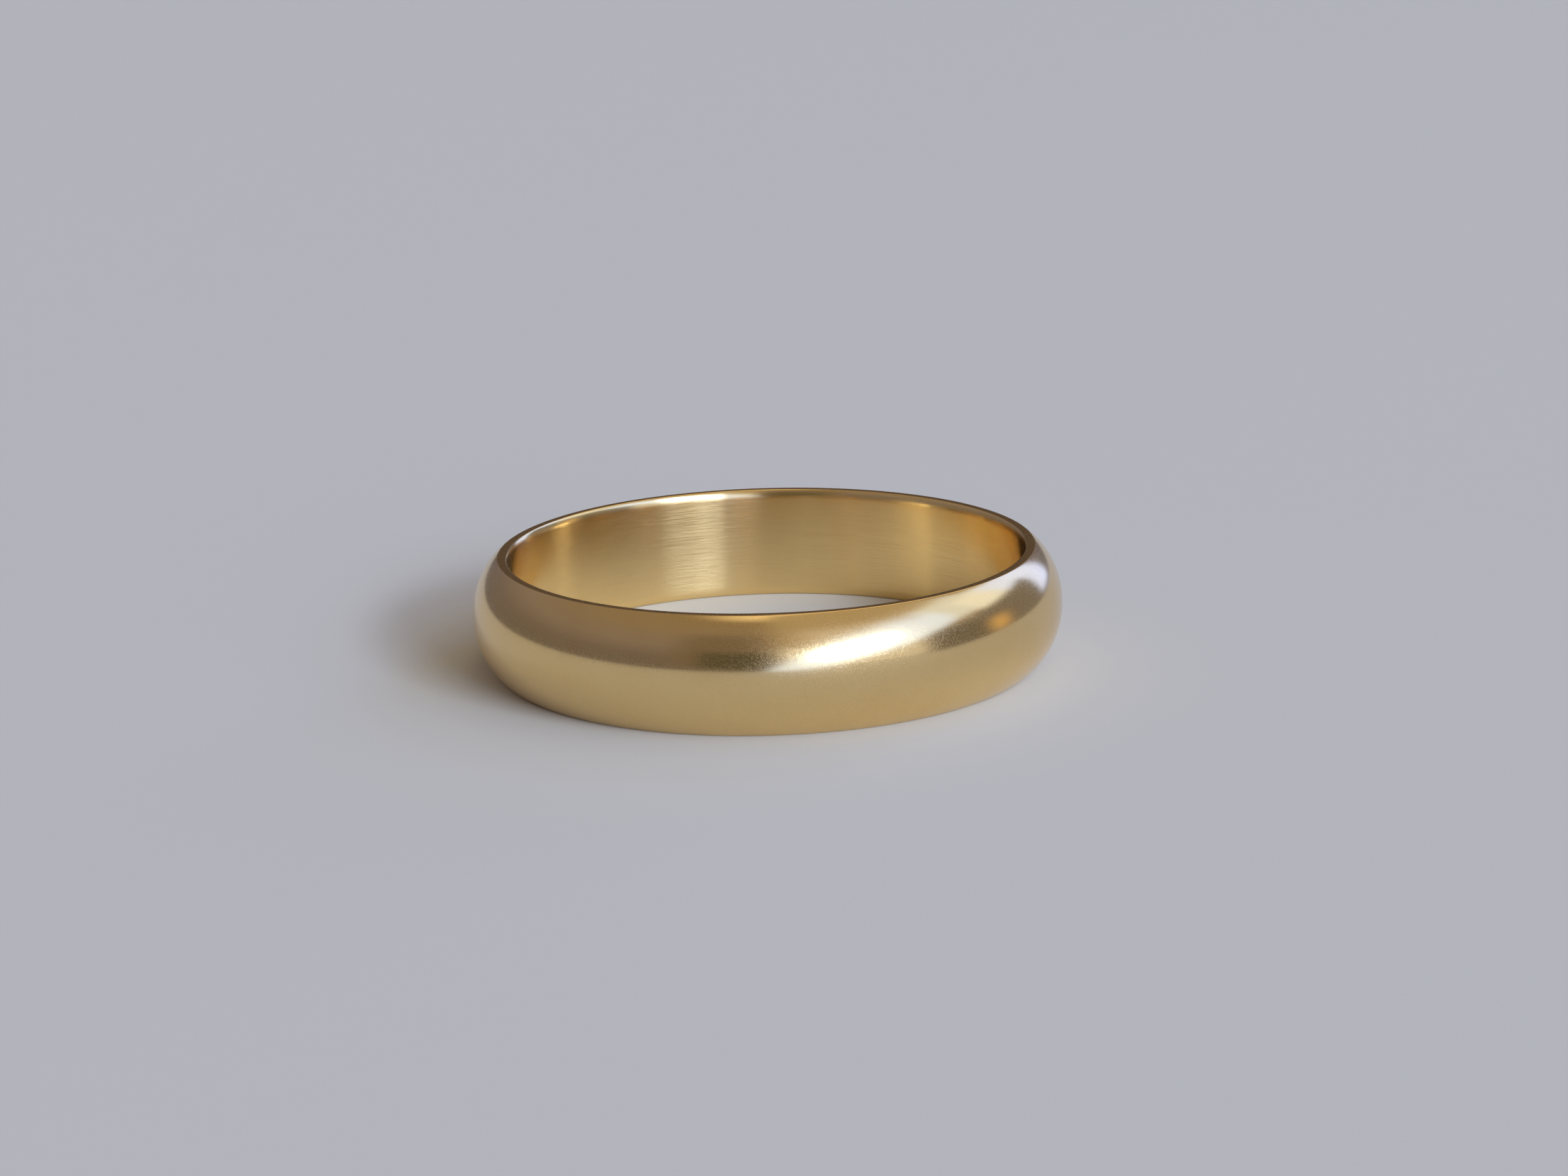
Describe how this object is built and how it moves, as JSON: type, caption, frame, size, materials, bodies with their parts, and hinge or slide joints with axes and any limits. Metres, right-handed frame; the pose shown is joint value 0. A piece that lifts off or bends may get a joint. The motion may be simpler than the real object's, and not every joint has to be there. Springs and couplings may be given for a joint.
{
  "type": "wedding band",
  "caption": "Plain yellow gold finger ring, domed outside and straight inside, with narrow flat edges it can stand or be stacked on.",
  "frame": {"origin": "middle of the finger hole, in the plane of the flat edge that the band lies on", "axes": "+Z along the finger's axis, up from the surface; the band is round, so X and Y are any two directions square to it"},
  "size_m": [0.0204, 0.0204, 0.004],
  "materials": {
    "yellow_gold": null
  },
  "bodies": {
    "root": {"band": "yellow_gold"}
  },
  "joints": []
}
